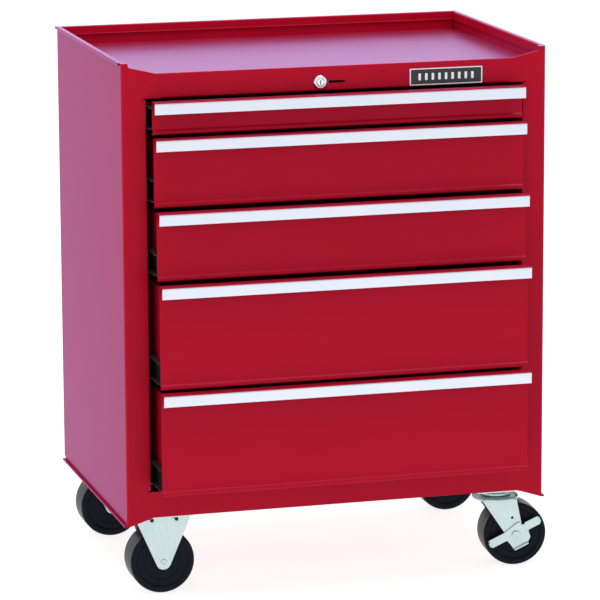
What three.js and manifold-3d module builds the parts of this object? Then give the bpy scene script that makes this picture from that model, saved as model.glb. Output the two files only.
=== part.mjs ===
// Rolling tool cart: a folded sheet-steel cabinet with five drawers on four casters.
// Millimetres, +Z up, drawers facing -Y. The origin is the middle of the base of the
// whole cart's box, on the floor.
import * as THREE from "three";
import { mergeVertices } from "three/addons/utils/BufferGeometryUtils.js";
import Module from "manifold-3d";

const wasm = await Module();
wasm.setup();

// Cabinet
const cabinetWidth = 673;
const cabinetDepth = 457;
const cabinetHeight = 718;
const sheet = 1.2;
const gap = 0.3;
const columnWidth = 38;
const footFlare = 4.5;
const columnReturn = 18;
const earWidth = 24;
const panHeight = 13.5;
const railHeight = 40.7;
const headerHeight = 37.5;
const trayDrop = 30.5;
const lipDrop = 16.5;
const chamferRun = 43;
const chamferRise = 10.5;
const cornerCap = 10.5;
const lapReach = 22;
const lapRoot = 6;
const lapInset = [2, 7];
const railHem = 12;
const headerHem = 6;
const skirtGap = 6.5;
const skirtLip = 3.7;
const skirtLipHeight = 2.5;

// Rolled rim round the top
const rollOut = 3.2;
const rollIn = 6;
const rollHeight = 4;
const hemHeight = 14;
const rimSetback = 13;

// Drawers, from the top down: height in units, and how far each stands open
const drawerUnits = [1, 2, 2, 3, 3];
const drawerAjar = [14.6, 21.4, 36, 48.5, 51.4];
const drawerGap = 4.2;
const headClearance = 2.4;
const footClearance = 5;
const sideReveal = 5.5;
const drawerBackRoom = 39;
const drawerDepth = cabinetDepth - drawerBackRoom;
const drawerFloorRise = 3;
const drawerSheet = 1;
const wallDrop = 8;
const pullReach = 17.4;
const pullDrop = 17.2;
const beadStep = 2.6;
const beadHeight = 4.6;
const trimSheet = 0.9;
const trimHeight = 16.8;
const trimDrop = 1.9;

// Drawer slides, a channel on the cabinet round a channel on the drawer
const slideHeight = 36;
const slideDepth = 11;
const slideLift = 24;
const slideSet = 6.5;
const slideShortfall = 18;
const slideLength = drawerDepth - slideShortfall;
const drawerSideGap = 13.6;

// Lock, its rod and the bar that it lifts
const lockX = -26.5;
const lockRise = 13.3;
const lockRadius = 8.3;
const lockFace = 10.5;
const plugRadius = 5.8;
const lockLength = 26;
const rodRadius = 2.5;
const crankThrow = 6;
const pinRadius = 1.8;
const barWidth = 27;
const barThickness = 2;
const barSetback = 20.5;
const hookWidth = 8;
const hookRise = 14;
const hookTip = 5;
const slotStart = -15;
const slotLength = 27.8;
const slotHeight = 3.6;
const guideInset = 60;
const guideHeight = 20;
const guideLip = 3;

// Badge
const badgeInset = 41.7;
const badgeWidth = 117;
const badgeHeight = 26.5;
const badgeThickness = 2;
const badgeBorder = 2;
const badgeRise = 1.5;
const badgeRecess = 0.6;

// Casters: the left pair is rigid, the right pair swivels
const wheelRadius = 50.8;
const casterRise = 27;
const casterHeight = 2 * wheelRadius + casterRise;
const wheelWidth = 50.8;
const hubProud = 1.5;
const hubWidth = wheelWidth + 2 * hubProud;
const hubRadius = 13;
const axleRadius = 4;
const casterInsetX = 61.5;
const casterInsetY = 51.5;
const casterTrail = 27;
const frontCasterYaw = -5;
const plateLength = 90;
const plateMargin = 11;
const plateSheet = 2.5;
const legSheet = 2.5;
const legPlay = 1;
const rigidBoss = 12;
const forkBoss = 13;
const forkHalf = 28;
const springBack = 5.7;
const springRise = 28.3;
const springRadius = 2;
const axleHead = 7.5;
const boltSpanX = 39;
const boltRadius = 3;
const boltRoom = 4;
const boltTail = 8;
const boltSides = 8;
const headAcross = 10;
const headHeight = 4;
const raceRadius = 22;
const raceHeight = 13.4;
const crownRadius = 37;
const crownSheet = 3;
const kingpinRadius = 6;
const leverTilt = 25;
const leverSheet = 2.5;
const leverArm = 45.5;
const leverLow = -1.5;
const leverHigh = 12.5;

const halfWidth = cabinetWidth / 2;
const halfDepth = cabinetDepth / 2;
const baseZ = casterHeight + gap - panHeight;
const panZ = baseZ + panHeight;
const topZ = baseZ + cabinetHeight;
const trayZ = topZ - trayDrop;
const headerTopZ = topZ - lipDrop;
const openingTopZ = headerTopZ - headerHeight;
const openingBottomZ = panZ + railHeight;
const openingX = halfWidth - columnWidth;
const earX = openingX - earWidth;
const railEndX = earX - gap;
const badgeX = railEndX - badgeInset - badgeWidth / 2;
const lockZ = openingTopZ + lockRise;
const panEdgeX = halfWidth - sheet - gap;
const backPlateY = halfDepth - sheet;
const frontHalf = openingX - sideReveal;
const barX = lockX + crankThrow;
const barY = backPlateY - barSetback;
const crankLift = crankThrow * Math.SQRT2;
const railWebX = openingX - gap;
const drawerBoxX = openingX - drawerSideGap;
const legInnerY = hubWidth / 2 + legPlay;
const legOuterY = legInnerY + legSheet;
const boltSpanY = 2 * (legOuterY + boltRoom + boltRadius);
const plateWidth = boltSpanY + 2 * plateMargin;
const plateTopZ = casterHeight;
const plateBottomZ = plateTopZ - plateSheet;
const crownTopZ = plateBottomZ - raceHeight - gap;
const casterX = halfWidth - casterInsetX;
const casterY = halfDepth - casterInsetY;
const boltPlaces = [-1, 1].flatMap((x) =>
  [-1, 1].map((y) => [(x * boltSpanX) / 2, (y * boltSpanY) / 2]),
);

const red = new THREE.MeshStandardMaterial({ color: 0xa5122f, roughness: 0.25, metalness: 0.1 });
const bright = new THREE.MeshStandardMaterial({ color: 0xe1e4ee, roughness: 0.25, metalness: 0.9 });
const zinc = new THREE.MeshStandardMaterial({ color: 0xcbdedb, roughness: 0.35, metalness: 0.9 });
const darkSteel = new THREE.MeshStandardMaterial({ color: 0x2a2b2e, roughness: 0.45, metalness: 0.8 });
const rubber = new THREE.MeshStandardMaterial({ color: 0x15161c, roughness: 0.5, metalness: 0 });
const badgeBlack = new THREE.MeshStandardMaterial({ color: 0x1c1a1c, roughness: 0.3, metalness: 0.2 });

// Solids: boxes and outlines are made by three.js, then joined and cut
function toSolid(geometry) {
  geometry.deleteAttribute("normal");
  geometry.deleteAttribute("uv");
  const merged = mergeVertices(geometry, 1e-4);
  const vertProperties = new Float32Array(merged.attributes.position.array);
  const triVerts = new Uint32Array(merged.index.array);
  return new wasm.Manifold(new wasm.Mesh({ numProp: 3, vertProperties, triVerts }));
}

function box(xs, ys, zs) {
  const spans = [xs, ys, zs].map(([a, b]) => [Math.min(a, b), Math.max(a, b)]);
  const [w, d, h] = spans.map(([low, high]) => high - low);
  const [x, y, z] = spans.map(([low, high]) => (low + high) / 2);
  return toSolid(new THREE.BoxGeometry(w, d, h).translate(x, y, z));
}

function outline(points) {
  return new THREE.Shape(points.map(([a, b]) => new THREE.Vector2(a, b)));
}

// A shape drawn in X and Z, with its thickness along Y
function slabXZ(shape, [front, back], curveSegments = 12) {
  const options = { depth: back - front, bevelEnabled: false, curveSegments };
  const geometry = new THREE.ExtrudeGeometry(shape, options);
  return toSolid(geometry.rotateX(Math.PI / 2).translate(0, back, 0));
}

// A section drawn in Y and Z, run along X
function slabYZ(shape, [left, right]) {
  const geometry = new THREE.ExtrudeGeometry(shape, { depth: right - left, bevelEnabled: false });
  const across = new THREE.Vector3(0, 1, 0);
  const up = new THREE.Vector3(0, 0, 1);
  const along = new THREE.Vector3(1, 0, 0);
  geometry.applyMatrix4(new THREE.Matrix4().makeBasis(across, up, along));
  return toSolid(geometry.translate(left, 0, 0));
}

// A round piece along Y from a list of [radius, y], or standing along Z
function turnedY(profile, segments = 20) {
  const points = profile.map(([radius, y]) => new THREE.Vector2(radius, y));
  return toSolid(new THREE.LatheGeometry(points, segments));
}

function turnedZ(profile, segments = 20) {
  const points = profile.map(([radius, z]) => new THREE.Vector2(radius, z));
  return toSolid(new THREE.LatheGeometry(points, segments).rotateX(Math.PI / 2));
}

function rodY(radius, [front, back], segments = 20) {
  return turnedY([[0, front], [radius, front], [radius, back], [0, back]], segments);
}

function rodZ(radius, [low, high], segments = 20) {
  return turnedZ([[0, low], [radius, low], [radius, high], [0, high]], segments);
}

function join(...solids) {
  return solids.reduce((whole, piece) => whole.add(piece));
}

function cut(solid, ...tools) {
  return tools.reduce((whole, tool) => whole.subtract(tool), solid);
}

const cart = new THREE.Group();

function place(name, solid, material, parent = cart) {
  const { vertProperties, triVerts } = solid.getMesh();
  const geometry = new THREE.BufferGeometry();
  geometry.setAttribute("position", new THREE.BufferAttribute(vertProperties, 3));
  geometry.setIndex(new THREE.BufferAttribute(triVerts, 1));
  const mesh = new THREE.Mesh(geometry, material);
  mesh.name = name;
  parent.add(mesh);
  return mesh;
}

// The rolled rim's section: walls given by how far out and how far down they reach
function rimWalls(drop) {
  return [
    { out: [-sheet, rollOut], down: [rollHeight - sheet, rollHeight] },
    { out: [rollOut - sheet, rollOut], down: [0, rollHeight] },
    { out: [-rollIn, rollOut], down: [0, sheet] },
    { out: [-rollIn, sheet - rollIn], down: [0, drop] },
  ];
}

// The left side is -1 and the right side is 1
function sidePanel(side) {
  const at = (inset) => side * (halfWidth - inset);
  const span = (a, b) => [at(a), at(b)];
  const skinBack = backPlateY - gap;
  const rimFront = rimSetback - halfDepth;
  const skinTop = topZ - rollHeight + sheet;
  const openingZ = [openingBottomZ, openingTopZ];
  const columnFace = outline([
    [at(0), baseZ],
    [at(columnWidth + footFlare), panZ],
    [side * earX, panZ],
    [side * earX, openingBottomZ],
    [side * openingX, openingBottomZ],
    [side * openingX, openingTopZ],
    [side * earX, openingTopZ],
    [side * earX, headerTopZ],
    [at(cornerCap + chamferRun), headerTopZ],
    [at(cornerCap), headerTopZ + chamferRise],
    [at(cornerCap), topZ - 1],
    [at(cornerCap - 1), topZ],
    [at(0), topZ],
  ]);
  let panel = join(
    box(span(0, sheet), [-halfDepth, skinBack], [baseZ + skirtGap, skinTop]),
    box(span(0, sheet), [-halfDepth, rimFront + sheet], [baseZ + skirtGap, topZ]),
    box(span(0, cornerCap), [-halfDepth, rimFront + sheet], [topZ - sheet, topZ]),
    slabXZ(columnFace, [-halfDepth, sheet - halfDepth]),
    box(span(columnWidth - sheet, columnWidth), [-halfDepth, columnReturn - halfDepth], openingZ),
    box(span(columnWidth - sheet, columnWidth), [skinBack - columnReturn, skinBack], openingZ),
    box(span(0, columnWidth), [skinBack - sheet, skinBack], openingZ),
  );
  for (const { out, down } of rimWalls(hemHeight)) {
    const isHem = down[1] === hemHeight;
    const rimBack = isHem ? skinBack - sheet - gap : halfDepth + rollOut;
    const zs = [topZ - down[0], topZ - down[1]];
    panel = panel.add(box([at(-out[0]), at(-out[1])], [rimFront, rimBack], zs));
  }
  return panel;
}

function backPanel() {
  const plateTop = topZ - rollHeight - gap;
  const hemEnd = halfWidth - rollIn - gap;
  let panel = join(
    box([-halfWidth, halfWidth], [backPlateY, halfDepth], [baseZ + skirtGap, plateTop]),
    box([-hemEnd, hemEnd], [backPlateY, halfDepth], [plateTop, topZ - sheet]),
  );
  for (const { out, down } of rimWalls(hemHeight)) {
    const ys = [halfDepth + out[0], halfDepth + out[1]];
    panel = panel.add(box([-hemEnd, hemEnd], ys, [topZ - down[0], topZ - down[1]]));
  }
  for (const guideZ of [openingBottomZ + guideInset, openingTopZ - guideInset]) {
    panel = panel.add(barGuide(guideZ));
  }
  return panel;
}

// Two hooked cheeks that hold the edges of the locking bar
function barGuide(z) {
  const zs = [z - guideHeight / 2, z + guideHeight / 2];
  const lipFront = barY - gap - sheet;
  const cheeks = [-1, 1].map((side) => {
    const inner = barX + side * (barWidth / 2 + gap);
    const outer = inner + side * sheet * 2;
    const cheek = box([inner, outer], [lipFront, halfDepth], zs);
    return cheek.add(box([inner - side * guideLip, outer], [lipFront, barY - gap], zs));
  });
  return join(...cheeks);
}

function topTray() {
  const backY = backPlateY - gap;
  const frontY = 2 * sheet + 2 * gap - halfDepth;
  const innerX = panEdgeX - sheet;
  const flangeTop = topZ - rollHeight - gap;
  const frontTop = headerTopZ - 1.5;
  const outer = box([-panEdgeX, panEdgeX], [frontY, backY], [trayZ - sheet, flangeTop]);
  const inner = box([-innerX, innerX], [frontY + sheet, backY - sheet], [trayZ, topZ]);
  const overFront = box([-halfWidth, halfWidth], [frontY - 1, frontY + sheet], [frontTop, topZ]);
  return cut(outer, inner, overFront);
}

// A plate between the two columns, stepped back behind their ears at its ends
function lappedRail(zs) {
  const lapY = [gap + sheet - halfDepth, gap + 2 * sheet - halfDepth];
  const lapZ = [zs[0] + lapInset[0], zs[1] - lapInset[1]];
  const lapX = railEndX - lapRoot;
  const plate = box([-railEndX, railEndX], [-halfDepth, sheet - halfDepth], zs);
  const laps = [-1, 1].map((side) => box([side * lapX, side * (railEndX + lapReach)], lapY, lapZ));
  const links = [-1, 1].map((side) =>
    box([side * lapX, side * railEndX], [-halfDepth, lapY[1]], lapZ),
  );
  return join(plate, ...laps, ...links);
}

function headerRail() {
  const xs = [-railEndX, railEndX];
  const hemBack = gap + 2 * sheet - halfDepth;
  const rail = join(
    lappedRail([openingTopZ, headerTopZ]),
    box(xs, [-halfDepth, hemBack], [headerTopZ - headerHem, headerTopZ]),
    box(xs, [-halfDepth, railHem - halfDepth], [openingTopZ, openingTopZ + sheet]),
  );
  const throughY = [-halfDepth - 1, 5 - halfDepth];
  const lockHole = rodY(lockRadius + gap, throughY).translate(lockX, 0, lockZ);
  const slotX = [slotStart, slotStart + slotLength];
  const slot = box(slotX, throughY, [lockZ - slotHeight / 2, lockZ + slotHeight / 2]);
  return cut(rail, lockHole, slot);
}

function bottomRail() {
  const zs = [openingBottomZ - sheet, openingBottomZ];
  return lappedRail([panZ, openingBottomZ]).add(
    box([-railEndX, railEndX], [-halfDepth, railHem - halfDepth], zs),
  );
}

function basePan() {
  const frontY = 2 * sheet + 2 * gap - halfDepth;
  const backY = backPlateY - gap;
  const lipOut = halfWidth + skirtLip;
  let pan = box([-panEdgeX, panEdgeX], [frontY, backY], [panZ, panZ + sheet]);
  for (const side of [-1, 1]) {
    const web = [side * (panEdgeX - sheet), side * panEdgeX];
    const lip = [side * (panEdgeX - sheet), side * lipOut];
    const lipFront = sheet + gap - halfDepth;
    pan = join(
      pan,
      box(web, [frontY, backY], [baseZ, panZ + sheet]),
      box(lip, [lipFront, backY], [baseZ, baseZ + skirtLipHeight]),
    );
    for (const end of [-1, 1]) {
      for (const [x, y] of boltPlaces) {
        const hole = rodZ(boltRadius + gap, [panZ - 1, panZ + sheet + 1], boltSides);
        pan = pan.subtract(hole.translate(side * casterX + x, end * casterY + y, 0));
      }
    }
  }
  return pan;
}

function badge() {
  const xs = [badgeX - badgeWidth / 2, badgeX + badgeWidth / 2];
  const front = -halfDepth - gap - badgeThickness;
  const low = openingTopZ + badgeRise;
  const zs = [low, low + badgeHeight];
  const plate = box(xs, [front, -halfDepth - gap], zs);
  const panel = box(
    [xs[0] + badgeBorder, xs[1] - badgeBorder],
    [front - 1, front + badgeRecess],
    [zs[0] + badgeBorder, zs[1] - badgeBorder],
  );
  return plate.subtract(panel);
}

// One drawer stands between the heights low and high; y is measured from its front
function drawerTray(low, high) {
  const floorZ = low + drawerFloorRise;
  const wallTop = high - wallDrop;
  const backY = drawerDepth;
  const beadTop = low + 2 * beadHeight;
  const t = drawerSheet;
  const front = outline([
    [-beadStep, low],
    [-beadStep, low + beadHeight],
    [0, beadTop],
    [0, high - t],
    [t - pullReach, high - t],
    [t - pullReach, high - pullDrop],
    [-pullReach, high - pullDrop],
    [-pullReach, high - 1],
    [1 - pullReach, high],
    [t, high],
    [t, beadTop - 0.4],
    [t - beadStep, low + beadHeight - 0.4],
    [t - beadStep, low + t],
    [t + 5, low + t],
    [t + 5, low],
  ]);
  const outer = box([-drawerBoxX, drawerBoxX], [t / 2, backY], [floorZ, wallTop]);
  const inner = box([t - drawerBoxX, drawerBoxX - t], [-t, backY - t], [floorZ + t, wallTop + t]);
  const hookZ = low + hookRise;
  const slotX = [barX - hookWidth / 2 - 2, barX + hookWidth / 2 + 2];
  const slot = box(slotX, [backY - 2 * t, backY + t], [hookZ - 1.5, hookZ + crankLift + 3]);
  const lipX = drawerBoxX - 2;
  const lipZ = [floorZ + 0.1, floorZ + t - 0.1];
  const floorLip = box([-lipX, lipX], [t / 2 - beadStep, 2 * t], lipZ);
  return join(slabYZ(front, [-frontHalf, frontHalf]), cut(outer, inner, slot), floorLip);
}

// The bright strip clipped round the pull's lower edge
function pullTrim(high) {
  const t = trimSheet;
  const face = -pullReach - gap - t;
  const inner = drawerSheet - pullReach + gap;
  const top = high - trimDrop;
  const bottom = top - trimHeight;
  const lipBottom = high - pullDrop;
  const shelf = Math.min(bottom + t, lipBottom - gap);
  const section = outline([
    [face, bottom],
    [face, top],
    [face + t, top],
    [face + t, shelf],
    [inner, shelf],
    [inner, lipBottom + 7],
    [inner + t, lipBottom + 7],
    [inner + t, bottom],
  ]);
  return slabYZ(section, [-frontHalf, frontHalf]);
}

// Channels facing each other: web and flanges between two distances from the middle
function channel(side, webX, flangeX, halfHeight, z, ys) {
  const xs = [side * webX, side * flangeX];
  const thickness = Math.sign(flangeX - webX) * sheet;
  return join(
    box([side * webX, side * (webX + thickness)], ys, [z - halfHeight, z + halfHeight]),
    box(xs, ys, [z + halfHeight - sheet, z + halfHeight]),
    box(xs, ys, [z - halfHeight, z - halfHeight + sheet]),
  );
}

function cabinetSlide(side, z) {
  const ys = [slideSet - halfDepth, backPlateY - gap - 3];
  return channel(side, railWebX, railWebX - slideDepth, slideHeight / 2, z, ys);
}

function drawerSlide(side, z) {
  const webX = drawerBoxX + gap;
  const flangeX = railWebX - sheet - 1.4;
  const ys = [slideSet, slideSet + slideLength];
  return channel(side, webX, flangeX, slideHeight / 2 - sheet - 0.4, z, ys);
}

function lockHousing() {
  const inner = plugRadius + gap;
  const profile = [
    [inner, -3],
    [lockFace - 1, -3],
    [lockFace, -2],
    [lockFace, -gap],
    [lockRadius, -gap],
    [lockRadius, lockLength],
    [inner, lockLength],
    [inner, -3],
  ];
  return turnedY(profile, 24);
}

// A spring clip pushed up round the barrel behind the header
function lockClip() {
  const front = sheet + gap;
  const plate = box([-14, 14], [front, front + 1.5], [-11.5, lockRadius]);
  const throat = lockRadius + gap;
  const bore = rodY(throat, [front - 1, front + 3]);
  return cut(plate, bore, box([-throat, throat], [front - 1, front + 3], [0, lockRadius + 1]));
}

function lockPlug() {
  const plug = rodY(plugRadius, [-3.4, lockLength + 1], 24);
  return plug.subtract(box([-0.8, 0.8], [-4, -1.4], [-3.6, 3.6]));
}

// The rod behind the plug, with a crank and pin at its far end
function lockRod() {
  const start = lockLength + 1 + gap;
  const end = barY - 2 * gap - sheet;
  const angle = -Math.PI / 4;
  const pinX = crankThrow * Math.cos(angle);
  const pinZ = crankThrow * Math.sin(angle);
  const crank = new THREE.Shape();
  crank.absarc(0, 0, rodRadius + 1.2, Math.PI / 4, Math.PI * 1.25, false);
  crank.absarc(pinX, pinZ, pinRadius + 1.2, Math.PI * 1.25, Math.PI * 2.25, false);
  return join(
    rodY(plugRadius - 0.8, [start, start + 4]),
    rodY(rodRadius, [start, end + halfDepth], 12),
    slabXZ(crank, [end + halfDepth - 3, end + halfDepth], 6),
    rodY(pinRadius, [end + halfDepth - 1, barY + halfDepth + barThickness + 2], 12)
      .translate(pinX, 0, pinZ),
  );
}

// A flat bar with a pin slot at the top and one hook for each drawer
function lockBar(drawers) {
  const ys = [barY, barY + barThickness];
  const xs = [barX - barWidth / 2, barX + barWidth / 2];
  const slotZ = lockZ - crankThrow * Math.SQRT1_2;
  const slotHalf = pinRadius + gap;
  const slotXs = [lockX + crankThrow * Math.SQRT1_2 - slotHalf, lockX + crankThrow + slotHalf];
  let bar = cut(
    box(xs, ys, [panZ + 30, slotZ + slotHalf + 1.8]),
    box(slotXs, [barY - 1, barY + barThickness + 1], [slotZ - slotHalf, slotZ + slotHalf]),
  );
  const reach = barY - (drawerDepth - halfDepth) + 6;
  for (const { low } of drawers) {
    const hookX = [barX - hookWidth / 2, barX + hookWidth / 2];
    const z = low + hookRise;
    bar = join(
      bar,
      box(hookX, [barY - reach, barY + barThickness], [z, z + 2]),
      box(hookX, [barY - reach, barY - reach + 2], [z, z + 2 + hookTip]),
    );
  }
  return bar;
}

function mountPlate(tail) {
  const zs = [plateBottomZ, plateTopZ];
  const halfLength = plateLength / 2;
  const plate = box([-halfLength, halfLength], [-plateWidth / 2, plateWidth / 2], zs);
  const headZ = panZ + sheet + gap;
  const bolts = boltPlaces.map(([x, y]) =>
    join(
      rodZ(boltRadius, [plateBottomZ - tail, headZ + 1], boltSides),
      rodZ(headAcross / Math.sqrt(3), [headZ, headZ + headHeight], 6),
    ).translate(x, y, 0),
  );
  return join(plate, ...bolts);
}

// A leg's outline: a straight top, running down to a round boss at the axle
function taperedLeg([left, leftZ], [right, rightZ], bossX, bossRadius) {
  const turn = (x, z) => Math.acos(bossRadius / Math.hypot(x - bossX, z - wheelRadius));
  const rightAngle = Math.atan2(rightZ - wheelRadius, right - bossX) - turn(right, rightZ);
  const leftAngle = Math.atan2(leftZ - wheelRadius, left - bossX) + turn(left, leftZ);
  const leg = new THREE.Shape();
  leg.moveTo(left, leftZ);
  leg.lineTo(right, rightZ);
  leg.absarc(bossX, wheelRadius, bossRadius, rightAngle, leftAngle - 2 * Math.PI, true);
  leg.closePath();
  return leg;
}

function rigidFrame() {
  const top = plateTopZ - plateSheet / 2;
  const half = plateLength / 2;
  const leg = taperedLeg([-half, top], [half, top], 0, rigidBoss);
  const hole = rodY(axleRadius + gap, [-legOuterY - 1, legOuterY + 1]);
  return cut(
    join(
      mountPlate(boltTail),
      slabXZ(leg, [-legOuterY, -legInnerY], 8),
      slabXZ(leg, [legInnerY, legOuterY], 8),
    ),
    hole.translate(0, 0, wheelRadius),
  );
}

function rigidAxle() {
  const end = legOuterY + gap;
  const head = axleRadius + 0.9;
  const profile = [
    [0, -end - 1.4],
    [head - 0.5, -end - 1.4],
    [head, -end - 0.9],
    [head, -end],
    [axleRadius, -end],
    [axleRadius, end],
    [head, end],
    [head, end + 0.9],
    [head - 0.5, end + 1.4],
    [0, end + 1.4],
  ];
  return turnedY(profile).translate(0, 0, wheelRadius);
}

// The swivel caster's top plate, with the fixed half of the ball race under it
function swivelPlate() {
  const race = turnedZ([
    [0, plateBottomZ - raceHeight],
    [raceRadius + 3, plateBottomZ - raceHeight],
    [raceRadius + 3, plateBottomZ - raceHeight + 4],
    [raceRadius, plateBottomZ - raceHeight + 6],
    [raceRadius, plateBottomZ + 1],
    [0, plateBottomZ + 1],
  ], 28);
  const bore = rodZ(kingpinRadius + gap, [plateBottomZ - raceHeight - 1, plateTopZ + 1]);
  return cut(join(mountPlate(1), race), bore);
}

function kingpin() {
  const headTop = crownTopZ - crownSheet - gap;
  const profile = [
    [0, headTop - 2.4],
    [kingpinRadius + 1.5, headTop - 2.4],
    [kingpinRadius + 2.5, headTop - 1.2],
    [kingpinRadius + 2.5, headTop],
    [kingpinRadius, headTop],
    [kingpinRadius, plateTopZ],
    [0, plateTopZ],
  ];
  return turnedZ(profile);
}

function swivelFork() {
  const crownZ = [crownTopZ - crownSheet, crownTopZ];
  const legTop = crownTopZ - crownSheet / 2;
  const leg = taperedLeg([-forkHalf, legTop], [forkHalf, legTop], casterTrail, forkBoss);
  const axleHole = rodY(axleRadius + gap, [-legOuterY - 1, legOuterY + 1]);
  const springHole = rodY(springRadius, [-legOuterY - 1, 1 - legInnerY], 12);
  const springX = casterTrail - springBack;
  const springZ = wheelRadius + springRise;
  const springSlot = box([-0.6, 0.6], [-legOuterY - 1, 1 - legInnerY], [-12, 0]);
  return cut(
    join(
      rodZ(crownRadius, crownZ, 36),
      box([-forkHalf, forkHalf], [-legOuterY, legOuterY], crownZ),
      slabXZ(leg, [-legOuterY, -legInnerY], 8),
      slabXZ(leg, [legInnerY, legOuterY], 8),
    ),
    rodZ(kingpinRadius + gap, [crownZ[0] - 1, crownZ[1] + 1]),
    axleHole.translate(casterTrail, 0, wheelRadius),
    springHole.translate(springX, 0, springZ),
    springSlot.rotate(0, -15, 0).translate(springX, 0, springZ),
  );
}

// A headed bolt through both legs; extra room outside the front leg holds a lever
function swivelAxle(extra) {
  const end = legOuterY + gap;
  const front = -end - extra;
  const head = axleHead;
  const profile = [
    [0, front - 3],
    [head - 1.2, front - 3],
    [head, front - 2],
    [head, front],
    [axleRadius, front],
    [axleRadius, end],
    [head, end],
    [head, end + 3],
    [0, end + 3],
  ];
  return turnedY(profile).translate(casterTrail, 0, wheelRadius);
}

function wheel() {
  const bore = axleRadius + gap;
  const hub = hubWidth / 2;
  const face = wheelWidth / 2;
  const web = face - 5;
  const half = [
    [bore, -hub],
    [hubRadius, -hub],
    [hubRadius + 1, -web],
    [wheelRadius - 20.8, -web],
    [wheelRadius - 16, 1 - face],
    [wheelRadius - 8, -face],
    [wheelRadius - 1.8, 0.8 - face],
    [wheelRadius, 3.2 - face],
  ];
  const mirrored = half.map(([radius, y]) => [radius, -y]).reverse();
  return turnedY([...half, ...mirrored, half[0]], 40);
}

// A brake lever lying across the axle: two arms, a round body and a turned-out tab
function brakeLever() {
  const arm = leverArm;
  const low = leverLow;
  const high = leverHigh;
  const round = 4;
  const lever = new THREE.Shape();
  lever.moveTo(-arm + round, low);
  lever.lineTo(-17, low);
  lever.lineTo(-15, -8);
  lever.lineTo(-13, -20);
  lever.lineTo(13, -20);
  lever.quadraticCurveTo(20, -16, 20.5, -8);
  lever.lineTo(21, low);
  lever.lineTo(arm - round, low);
  lever.quadraticCurveTo(arm, low, arm, low + round);
  lever.lineTo(arm, high - round);
  lever.quadraticCurveTo(arm, high, arm - round, high);
  lever.lineTo(20.5, high);
  lever.absarc(18, high, 2.5, 0, -Math.PI, true);
  lever.lineTo(15.5, 17);
  lever.lineTo(9, 17.5);
  lever.lineTo(-14, high);
  lever.lineTo(-arm + round, high);
  lever.quadraticCurveTo(-arm, high, -arm, high - round);
  lever.lineTo(-arm, low + round);
  lever.quadraticCurveTo(-arm, low, -arm + round, low);
  const back = -legOuterY - gap;
  const front = back - leverSheet;
  const plate = slabXZ(lever, [front, back], 6);
  const tab = box([-12.5, 12.5], [front - 5, back], [-20 - leverSheet + 0.5, -19]);
  const endPads = [-1, 1].map((end) =>
    box([end * (arm - 2.2), end * arm], [front - 3, back], [low + round, high - round]),
  );
  const hole = rodY(axleRadius + gap, [front - 1, back + 1]);
  return cut(join(plate, tab, ...endPads), hole);
}

function stackDrawers() {
  const lipTop = openingTopZ - headClearance;
  const units = drawerUnits.reduce((sum, count) => sum + count);
  const pitch = (lipTop - openingBottomZ - footClearance + drawerGap) / units;
  let high = lipTop;
  return drawerUnits.map((count, index) => {
    const low = high - count * pitch + drawerGap;
    const drawer = { number: index + 1, low, high, ajar: drawerAjar[index] };
    high = low - drawerGap;
    return drawer;
  });
}

function addGroup(parent, x, y, z) {
  const group = new THREE.Group();
  group.position.set(x, y, z);
  parent.add(group);
  return group;
}

const drawers = stackDrawers();
const sides = { left: -1, right: 1 };
const ends = { front: -1, rear: 1 };

for (const [name, side] of Object.entries(sides)) {
  place(`side_panel_${name}`, sidePanel(side), red);
}
place("back_panel", backPanel(), red);
place("top_tray", topTray(), red);
place("header_rail", headerRail(), red);
place("bottom_rail", bottomRail(), red);
place("base_pan", basePan(), red);
place("badge_plate", badge(), badgeBlack);

const lock = addGroup(cart, lockX, -halfDepth, lockZ);
place("lock_housing", lockHousing(), bright, lock);
place("lock_clip", lockClip(), zinc, lock);
place("lock_plug", lockPlug(), bright, lock);
place("lock_rod", lockRod(), zinc, lock);
place("lock_bar", lockBar(drawers), zinc);

for (const { number, low, high, ajar } of drawers) {
  const group = addGroup(cart, 0, -halfDepth - ajar, 0);
  place(`drawer_${number}`, drawerTray(low, high), red, group);
  place(`drawer_trim_${number}`, pullTrim(high), bright, group);
  for (const [name, side] of Object.entries(sides)) {
    place(`drawer_slide_${number}_${name}`, drawerSlide(side, low + slideLift), zinc, group);
    place(`cabinet_slide_${number}_${name}`, cabinetSlide(side, low + slideLift), zinc);
  }
}

for (const [name, end] of Object.entries(ends)) {
  const rigid = addGroup(cart, -casterX, end * casterY, 0);
  place(`rigid_frame_${name}`, rigidFrame(), zinc, rigid);
  place(`rigid_axle_${name}`, rigidAxle(), zinc, rigid);
  const rigidWheel = place(`rigid_wheel_${name}`, wheel(), rubber, rigid);
  rigidWheel.position.z = wheelRadius;

  const swivel = addGroup(cart, casterX, end * casterY, 0);
  place(`swivel_plate_${name}`, swivelPlate(), zinc, swivel);
  place(`kingpin_${name}`, kingpin(), zinc, swivel);
  const braked = name === "front";
  const turning = addGroup(swivel, 0, 0, 0);
  turning.rotation.z = braked ? THREE.MathUtils.degToRad(frontCasterYaw) : 0;
  place(`swivel_fork_${name}`, swivelFork(), zinc, turning);
  place(`swivel_axle_${name}`, swivelAxle(braked ? leverSheet + gap : 0), zinc, turning);
  const swivelWheel = place(`swivel_wheel_${name}`, wheel(), rubber, turning);
  swivelWheel.position.set(casterTrail, 0, wheelRadius);
  if (braked) {
    const lever = place("brake_lever", brakeLever(), zinc, turning);
    lever.position.set(casterTrail, 0, wheelRadius);
    lever.rotation.y = -THREE.MathUtils.degToRad(leverTilt);
  }
}

// Centre the whole cart's box over the origin
const model = new THREE.Group();
model.add(cart);
const centre = new THREE.Box3().setFromObject(model, true).getCenter(new THREE.Vector3());
cart.position.set(-centre.x, -centre.y, 0);

export default model;
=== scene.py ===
import math

import bmesh
import bpy
from mathutils import Matrix, Vector


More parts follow.
